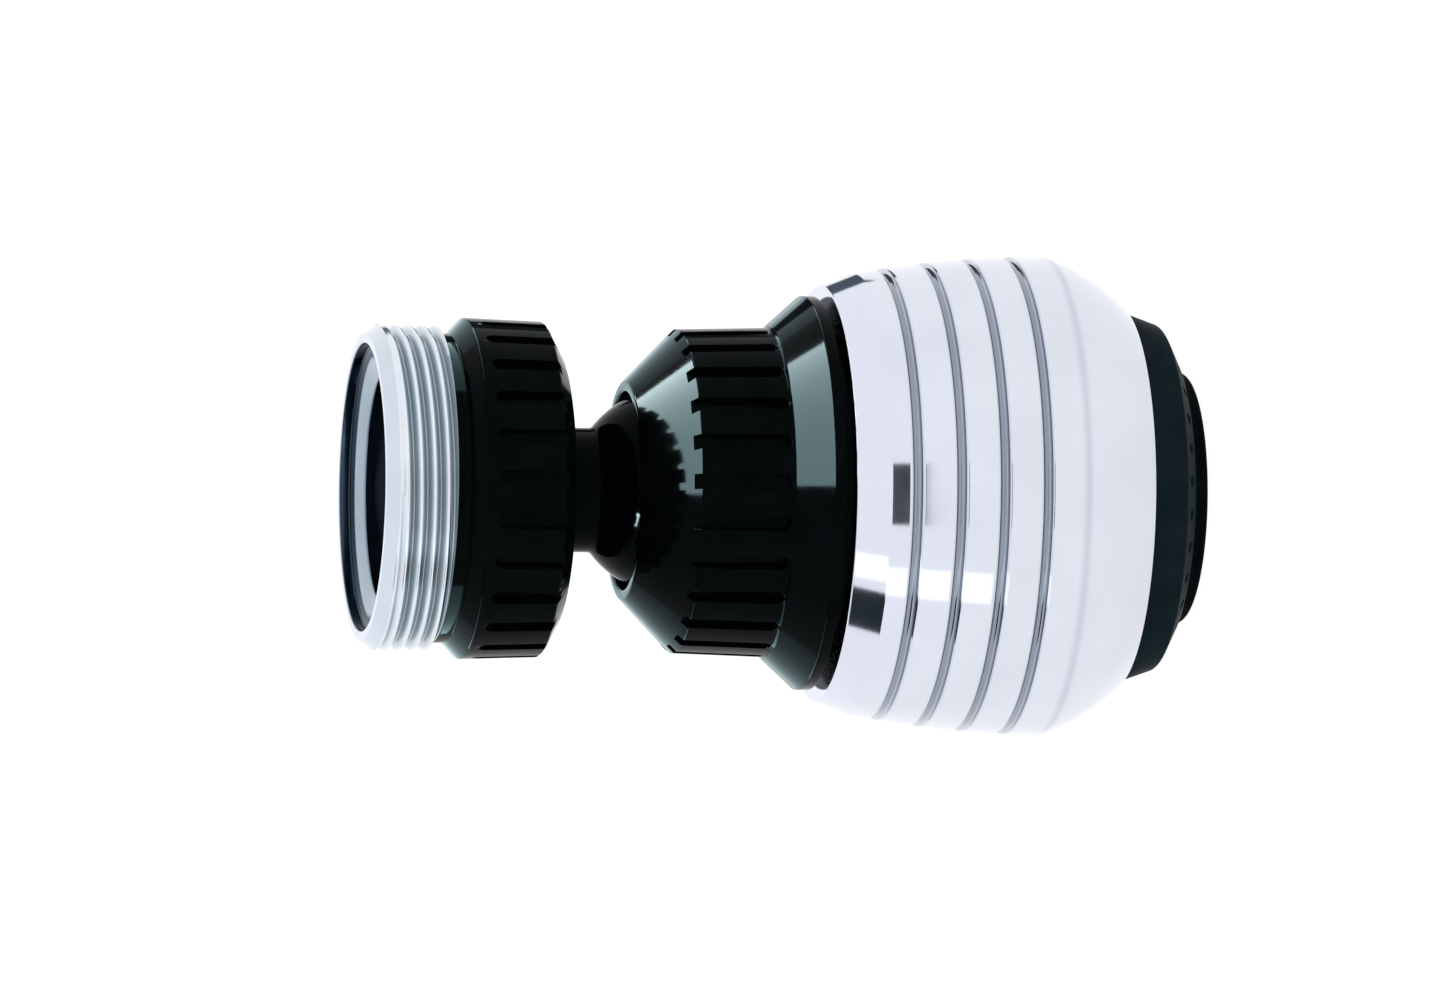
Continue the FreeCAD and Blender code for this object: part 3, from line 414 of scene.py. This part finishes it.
def slot_cutters(count, floor, reach, half_width, open_end, round_end):
    """Upright bars that cut slots: open at one end, round at the other, with a flat floor."""
    form = bmesh.new()
    up = 1 if round_end > open_end else -1
    outline = [(-half_width, open_end), (half_width, open_end)]
    for step in range(ROUND_STEPS + 1):
        turn = math.pi * step / ROUND_STEPS
        outline.append((half_width * math.cos(turn), round_end + up * half_width * math.sin(turn)))
    for index in range(count):
        spin = Matrix.Rotation(2 * math.pi * index / count, 3, "Z")
        near = [form.verts.new(spin @ Vector((floor, *spot))) for spot in outline]
        far = [form.verts.new(spin @ Vector((reach, *spot))) for spot in outline]
        form.faces.new(near)
        form.faces.new(far)
        for here in range(len(outline)):
            beside = (here + 1) % len(outline)
            form.faces.new((near[here], near[beside], far[beside], far[here]))
    bmesh.ops.recalc_face_normals(form, faces=form.faces)
    return form


def cut(form, cutter, ease):
    """Cut the bars from the piece, then soften the edges that this leaves."""
    objects = []
    for name, shape in (("blank", form), ("cutter", cutter)):
        mesh = bpy.data.meshes.new(name)
        shape.to_mesh(mesh)
        shape.free()
        objects.append(bpy.data.objects.new(name, mesh))
        bpy.context.scene.collection.objects.link(objects[-1])
    blank, bars = objects
    boolean = blank.modifiers.new("slots", "BOOLEAN")
    boolean.operation = "DIFFERENCE"
    boolean.solver = "EXACT"
    boolean.object = bars
    result = bmesh.new()
    finished = blank.evaluated_get(bpy.context.evaluated_depsgraph_get())
    result.from_mesh(bpy.data.meshes.new_from_object(finished))
    bpy.data.objects.remove(blank)
    bpy.data.objects.remove(bars)
    bmesh.ops.dissolve_degenerate(result, dist=WELD, edges=result.edges)
    bend = math.radians(40)
    edges = [e for e in result.edges if len(e.link_faces) == 2 and e.calc_face_angle() > bend]
    bmesh.ops.bevel(
        result, geom=edges, offset=ease, segments=2, profile=0.5, affect="EDGES", clamp_overlap=True
    )
    return result


collar_section = eased([
    (4.68, 47.55, 0.1), (10.3, 47.55, 0.35), (12.4, 48.7, 0.25), (12.6, 54.5, 0.25),
    (11.4, 55.6, 0.12), (11.4, 56.5), (10.45, 56.5), (10.45, 49.6), (4.68, 49.6, 0.1),
])
collar_blank = turned(collar_section, COLLAR_STEPS)
collar_bars = slot_cutters(
    COLLAR_SLOTS, floor=11.85, reach=14.0, half_width=0.55, open_end=46.5, round_end=53.15
)
gloss_black = black_moulding(
    "gloss_black", (0.0006, 0.0011, 0.0012), (0.0012, 0.0021, 0.0023),
    gloss=0.06, dull=0.1, shine=0.02, grain_height=0.2,
)
grip_collar = made(cut(collar_blank, collar_bars, ease=0.1), "grip_collar_moulding", gloss_black)
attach(grip_collar, "connector")
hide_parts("grip_collar")


# STEM BUSH AND ITS RING
# The bush screws on the stem's spigot and turns in the ring. It is black acetal, and a
# rubber ring seals it. Both stay out of sight in the connector.
def black_rubber(name):
    """Soft black rubber, dull, with a fine powdery bloom."""
    material, tree, rubber, own = finish(name)
    bloom = mottle(tree, own, 1.2)
    two_tone(tree, bloom, (0.012, 0.012, 0.012), (0.03, 0.03, 0.03), rubber)
    rubber.inputs["Specular IOR Level"].default_value = 0.3
    tree.links.new(between(tree, bloom, 0.55, 0.75), rubber.inputs["Roughness"])
    relief(tree, rubber, (mottle(tree, own, 0.1), 6))
    return material


seal_rubber = black_rubber("seal_rubber")
dress(rim_black, "stem_bush")
dress(seal_rubber, "bush_o_ring")


# BALL STEM
# Neck and ball in one black piece, bored through for the water. The ball is polished where
# it turns in the nut and on its seat.
STEM_STEPS = 160
BALL = 38.5
BALL_RADIUS = 7.7
NECK_RADIUS = 4.6
NECK_ROUND = 0.6
STEM_BORE = 2.9


def arc(centre, radius, first, last, steps):
    """Points of an arc in a half section. Angles are in degrees above the radius."""
    turns = [math.radians(first + (last - first) * step / steps) for step in range(steps + 1)]
    return [(centre[0] + radius * math.cos(a), centre[1] + radius * math.sin(a)) for a in turns]


root_reach = BALL_RADIUS + NECK_ROUND
root_side = NECK_RADIUS + NECK_ROUND
root_turn = math.degrees(math.acos(root_side / root_reach))
root_centre = (root_side, BALL + math.sqrt(root_reach**2 - root_side**2))
bore_turn = -math.degrees(math.acos(STEM_BORE / BALL_RADIUS))
stem_section = eased([
    *arc((0, BALL), BALL_RADIUS, bore_turn, root_turn, 64),
    *arc(root_centre, NECK_ROUND, 180 + root_turn, 180, 6)[1:],
    (4.6, 49.7), (4.1, 49.7), (4.1, 54.4, 0.2), (2.9, 54.4, 0.2),
])
ball_black = black_moulding(
    "ball_black", (0.0005, 0.0009, 0.001), (0.001, 0.0016, 0.0018),
    gloss=0.05, dull=0.09, shine=0.02, grain_height=0.15,
)
ball_stem = made(turned(stem_section, STEM_STEPS), "ball_and_neck", ball_black)
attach(ball_stem, "stem")
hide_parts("ball_stem")


# BALL NUT
# A polished black moulding that screws on the core and keeps the ball in. It has a cone, a
# waist with slots that run out through the cone, a flare, and a thin lip over the bell.
NUT_SLOTS = 25
NUT_STEPS = 200

nut_section = eased([
    (11.55, 28.2), (14.6, 28.2, 0.15), (14.6, 29.1, 0.15), (14.3, 29.4), (12.35, 31.6, 0.15),
    (12.2, 31.85), (12.0, 38.5, 0.2), (8.1, 42.3, 0.3), (7.35, 42.3, 0.15),
    *arc((0, BALL), 7.75, 18.5, -6.67, 12),
    (9.55, 37.6), (9.55, 30.2), (11.55, 30.2),
])
nut_blank = turned(nut_section, NUT_STEPS)
nut_bars = slot_cutters(
    NUT_SLOTS, floor=11.45, reach=14.0, half_width=0.55, open_end=43.5, round_end=32.4
)
ball_nut = made(cut(nut_blank, nut_bars, ease=0.1), "ball_nut_moulding", gloss_black)
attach(ball_nut, "head")
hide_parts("ball_nut")


# BALL SEAT AND SEAL, CORE AND VALVE
# Below the ball are an acetal seat and a rubber seal. The matt black core carries them, its
# neck guides the bell, and its piston and valve send the water to the jet or to the spray.
matt_black = black_moulding(
    "matt_black", (0.006, 0.006, 0.006), (0.012, 0.012, 0.012),
    gloss=0.5, dull=0.62, shine=0.2, grain_height=2,
)
pale_plastic = natural_plastic("natural_plastic", (0.82, 0.82, 0.79), (0.7, 0.7, 0.67))
dress(pale_plastic, "ball_seat", "diverter_spindle")
dress(seal_rubber, "ball_seal", "piston_o_ring", "face_seal", "diverter_washer")
dress(matt_black, "head_core")


# BELL
# The chromed shell that slides on the core's neck. It has a plain cone below the nut's lip,
# a long belly with four turned grooves, and a round shoulder that closes on the nozzle. Shade
# is painted into the plate's colour in the grooves, and a faint line of it at the shoulder.
BELL_STEPS = 320
BELL_REACH = 30.0
SHOULDER = (17.8, 10.9)
MOUTH = (14.2, 5.1)
BAND_EDGE = (16.35, 25.4)
GROOVES = (13.9, 17.07, 20.24, 23.41)
GROOVE_RADIUS = 0.35
GROOVE_EASE = 0.12
GROOVE_CLEAR = 1.3
GROOVE_SHADE = (0.36, 0.4, 0.43)
PLAIN = (1, 1, 1)
# Shade painted into the plate's colour: (height, colour)
BELL_SHADE_TONES = [(10.4, PLAIN), (10.9, (0.8, 0.82, 0.85)), (11.4, PLAIN)]
for groove in GROOVES:
    BELL_SHADE_TONES += [(groove - 0.5, PLAIN), (groove - 0.12, GROOVE_SHADE)]
    BELL_SHADE_TONES += [(groove + 0.12, GROOVE_SHADE), (groove + 0.5, PLAIN)]


def bowed(first, last, radius, steps):
    """Points of the outward arc that joins two corners of a half section."""
    start, end = Vector(first), Vector(last)
    chord = end - start
    out = Vector((chord.y, -chord.x)).normalized()
    centre = (start + end) / 2 - out * math.sqrt(radius**2 - chord.length_squared / 4)
    return swept(centre, start, end, steps)


def grooved(wall):
    """The belly's wall with round grooves cut in, their lips a little soft."""
    def wall_radius(height):
        for low, high in zip(wall, wall[1:]):
            if height <= high.y or high is wall[-1]:
                return low.x + (high.x - low.x) * (height - low.y) / (high.y - low.y)

    points = []
    reach = GROOVE_RADIUS + GROOVE_EASE
    marks = [p.y for p in wall if all(abs(p.y - g) > reach * GROOVE_CLEAR for g in GROOVES)]
    for groove in GROOVES:
        marks += [groove + reach * share for share in (-1.25, -1.0, 1.0, 1.25)]
        turns = [math.radians(turn) for turn in range(-84, 85, 12)]
        marks += [groove + GROOVE_RADIUS * math.sin(turn) for turn in turns]
    for height in sorted(marks):
        depth = 0.0
        for groove in GROOVES:
            away = abs(height - groove)
            if away < GROOVE_RADIUS:
                depth = math.sqrt(GROOVE_RADIUS**2 - away**2)
        points.append(Vector((wall_radius(height) - depth, height)))
    return points


shoulder = bowed(MOUTH, SHOULDER, radius=13.5, steps=28)
belly = bowed(SHOULDER, BAND_EDGE, radius=80.0, steps=80)
shell_section = [
    *eased([(13.9, 5.1), MOUTH]),
    *shoulder[1:-1],
    *grooved(belly),
    *eased([BAND_EDGE, (15.4, 27.7, 0.2), (11.58, 27.7, 0.1), (11.58, 25.5), (13.9, 25.5)])[1:],
]
shell_chrome = chrome_plate(
    "chromed_shell", (0.69, 0.715, 0.785), (0.65, 0.675, 0.75),
    smooth=0.075, dull=0.105, line_height=0.12,
)
shade_painted_by_place(shell_chrome, "height", BELL_SHADE_TONES, BELL_REACH)
head_shell = made(turned(shell_section, BELL_STEPS), "bell_shell", shell_chrome, sharp=30)
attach(head_shell, "spray_head")
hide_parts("head_shell")


# SPRAY NOZZLE
# A satin blue-black cup, pressed in the bell. The sloping face between its rim and the
# aerator has the ring of spray holes.
NOZZLE_STEPS = 240
SPRAY_HOLES = 30
SPRAY_CIRCLE = 11.7
HOLE_SIDES = 20


def hole_cutters(count, circle, radius, low, high):
    """Round bars that drill a ring of holes."""
    form = bmesh.new()
    first = Matrix.Translation((circle, 0, (low + high) / 2))
    for index in range(count):
        spot = Matrix.Rotation(2 * math.pi * index / count, 4, "Z") @ first
        bmesh.ops.create_cone(
            form, cap_ends=True, segments=HOLE_SIDES, radius1=radius, radius2=radius,
            depth=high - low, matrix=spot,
        )
    return form


nozzle_section = eased([
    (12.9, 2.4, 0.4), (13.85, 5.1), (13.85, 25.5, 0.1), (12.9, 25.5, 0.1), (12.9, 4.2), (10.5, 4.2),
    (10.5, 17.4, 0.1), (9.2, 17.4, 0.1), (9.2, 15.5), (5.6, 15.5, 0.1), (5.6, 14.1, 0.1), (7.8, 14.1),
    (7.8, 8.7), (9.0, 8.7), (9.0, 2.2), (9.95, 2.2), (9.95, 1.1, 0.1), (10.9, 1.4, 0.2),
])
nozzle_blank = turned(nozzle_section, NOZZLE_STEPS)
nozzle_bars = hole_cutters(SPRAY_HOLES, SPRAY_CIRCLE, radius=0.4, low=0.5, high=5.5)
nozzle_black = black_moulding(
    "nozzle_black", (0.005, 0.0105, 0.0135), (0.0075, 0.014, 0.018),
    gloss=0.3, dull=0.4, shine=0.003, grain_height=1.2,
)
spray_nozzle = made(cut(nozzle_blank, nozzle_bars, ease=0.06), "spray_nozzle_moulding", nozzle_black)
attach(spray_nozzle, "spray_head")
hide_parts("spray_nozzle")


# AERATOR
# A matt black housing screwed in the nozzle. From the top it holds a washer, the jet plate,
# the mixer ring, two wire screens on a spacer, and the grille at the outlet.
HOUSING_STEPS = 200
SCREEN_RADIUS = 7.6
SCREEN_HEIGHT = 3.0

housing_section = eased([
    (7.2, 0.0, 0.15), (8.8, 0.0, 0.1), *arc((8.8, 0.6), 0.6, -84, 0, 6), (9.8, 1.1, 0.12),
    (9.8, 2.2), (8.95, 2.2), (8.95, 7.7, 0.1), (7.7, 7.7, 0.1), (7.7, 0.9), (7.2, 0.9),
])
boss_black = black_moulding(
    "boss_black", (0.0014, 0.0022, 0.0022), (0.0022, 0.0035, 0.0035),
    gloss=0.5, dull=0.62, shine=0.004, grain_height=3,
)
aerator_housing = made(turned(housing_section, HOUSING_STEPS), "aerator_boss", boss_black)
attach(aerator_housing, "spray_head")
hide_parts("aerator_housing")
screen_wire = steel_wire("screen_wire")
lower_weave = made(woven(SCREEN_RADIUS, SCREEN_HEIGHT), "outlet_weave", screen_wire, sharp=80)
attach(lower_weave, "spray_head")
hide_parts("lower_screen")
dress(seal_rubber, "aerator_washer")
dress(pale_plastic, "jet_plate", "mixer_ring", "screen_spacer")
dress(steel_wire("inner_screen_wire"), "upper_screen")
dress(matt_black, "outlet_grille")


# STUDIO
# A white table under an even white sky. A softbox lights the nut and the nozzle, a small lamp
# the ball, and three soft glows the rims of the black pieces. Three dark boards and two bright
# panels show only in gloss, mostly in the chrome of the bell.
TILT = math.radians(10.7)
ROLL = math.radians(0.76)
TOWARDS = Vector((0, -math.cos(TILT), math.sin(TILT)))
LEFT = Vector((0, math.sin(TILT), math.cos(TILT)))
DOWN = Vector((-1, 0, 0))
LOOK_AT = Vector((-0.0006, 0, 0.03505))
CAMERA_DISTANCE = 1.0
VIEW_WIDTH = 0.1064
SENSOR_WIDTH = 36
TABLE_HALF = 6
TABLE_DROP = 0.0001


def studio(left, down, towards):
    """A direction as the photograph shows it, in the frame of the part."""
    return (LEFT * left + DOWN * down + TOWARDS * towards).normalized()


def plain_sheet(name, corners):
    """One flat sheet through four corners."""
    mesh = bpy.data.meshes.new(name)
    mesh.from_pydata([tuple(c) for c in corners], [], [tuple(range(len(corners)))])
    sheet = bpy.data.objects.new(name, mesh)
    bpy.context.scene.collection.objects.link(sheet)
    return sheet


def lit_group(name, *pieces):
    """The pieces that a lamp lights."""
    group = bpy.data.collections.new(name)
    for piece in pieces:
        group.objects.link(piece)
    return group


def lamp(name, direction, distance, width, height, radiance, lit, colour=(1, 1, 1)):
    """A soft rectangular lamp that faces the part. Only the pieces of the lit group show it."""
    data = bpy.data.lights.new(name, "AREA")
    data.shape = "RECTANGLE"
    data.size = width
    data.size_y = height
    data.color = colour
    data.energy = radiance * math.pi * width * height
    holder = bpy.data.objects.new(name, data)
    bpy.context.scene.collection.objects.link(holder)
    holder.location = LOOK_AT + direction * distance
    holder.rotation_mode = "QUATERNION"
    holder.rotation_quaternion = direction.to_track_quat("Z", "Y")
    holder.visible_camera = False
    holder.visible_diffuse = False
    holder.light_linking.receiver_collection = lit


def board(name, direction, distance, width, height, tone):
    """A board that faces the part and shows only in gloss. Its tone may be bright or dark."""
    facing = direction.to_track_quat("Z", "Y")
    middle = LOOK_AT + direction * distance
    sides = [(-width, -height), (width, -height), (width, height), (-width, height)]
    sheet = plain_sheet(name, [middle + facing @ Vector((x / 2, y / 2, 0)) for x, y in sides])
    material = bpy.data.materials.new(name)
    material.use_nodes = True
    tree = material.node_tree
    tree.nodes.clear()
    glow = tree.nodes.new("ShaderNodeEmission")
    glow.inputs["Color"].default_value = (*tone, 1)
    output = tree.nodes.new("ShaderNodeOutputMaterial")
    tree.links.new(glow.outputs["Emission"], output.inputs["Surface"])
    sheet.data.materials.append(material)
    sheet.visible_camera = False
    sheet.visible_diffuse = False
    sheet.visible_shadow = False


table_corners = [(-1, -1), (1, -1), (1, 1), (-1, 1)]
table = plain_sheet("table", [(x * TABLE_HALF, y * TABLE_HALF, -TABLE_DROP) for x, y in table_corners])
table_white, _, table_shader, _ = finish("table_white")
table_shader.inputs["Base Color"].default_value = (0.12, 0.12, 0.12, 1)
table_shader.inputs["Roughness"].default_value = 1
table_shader.inputs["Specular IOR Level"].default_value = 0
table_shader.inputs["Emission Color"].default_value = (1, 1, 1, 1)
table_shader.inputs["Emission Strength"].default_value = 0.98
table.data.materials.append(table_white)

sky = bpy.data.worlds.new("white_sky")
bpy.context.scene.world = sky
sky.use_nodes = True
sky.node_tree.nodes["Background"].inputs["Color"].default_value = (0.925, 0.925, 0.965, 1)
sky.node_tree.nodes["Background"].inputs["Strength"].default_value = 1.2

polished_black = lit_group("polished_black", grip_collar, ball_nut, spray_nozzle)
nut_and_nozzle = lit_group("nut_and_nozzle", ball_nut, spray_nozzle)
ball_only = lit_group("ball_only", ball_stem)
lamp("softbox", studio(0.9, -0.36, 0.0), 0.55, 0.62, 0.62, 98, nut_and_nozzle, (0.8, 0.97, 1.0))
lamp("ball_lamp", studio(0.637, 0.483, 0.602), 0.6, 0.15, 0.06, 450, ball_only)
lamp("rear_glow", studio(0.0, 0.1, -1.0), 0.9, 2.4, 2.4, 1.2, polished_black, (0.5, 0.95, 1.0))
lamp("over_glow", studio(-0.05, -0.95, -0.3), 0.6, 0.7, 0.5, 12, polished_black, (0.6, 0.95, 1.0))
lamp("under_glow", studio(-0.05, 0.95, -0.3), 0.6, 0.7, 0.5, 12, polished_black, (0.6, 0.95, 1.0))
board("low_board", studio(0.385, 0.825, 0.418), 0.5, 0.2, 0.2, (0.02, 0.03, 0.035))
board("high_board", studio(0.16, -0.62, -0.77), 0.1, 0.03, 0.04, (0.08, 0.1, 0.13))
board("streak_panel", studio(-0.12, 0.67, 0.745), 0.09, 0.023, 0.045, (1.5, 1.5, 1.55))
board("band_panel", studio(0.28, 0.58, 0.8), 0.1, 0.022, 0.03, (1.6, 1.6, 1.6))
board("camera_shade", Vector((0.0, -0.99, 0.153)).normalized(), 2.0, 1.1, 0.17, (0.01, 0.015, 0.02))

camera_data = bpy.data.cameras.new("camera")
camera_data.sensor_width = SENSOR_WIDTH
camera_data.lens = SENSOR_WIDTH * CAMERA_DISTANCE / VIEW_WIDTH
camera_data.clip_end = 100
camera = bpy.data.objects.new("camera", camera_data)
bpy.context.scene.collection.objects.link(camera)
level = Matrix((-LEFT, -DOWN, TOWARDS)).transposed()
camera.matrix_world = Matrix.Translation(LOOK_AT + TOWARDS * CAMERA_DISTANCE) @ (
    level @ Matrix.Rotation(ROLL, 3, "Z")
).to_4x4()
bpy.context.scene.camera = camera
bpy.context.scene.view_settings.view_transform = "Standard"
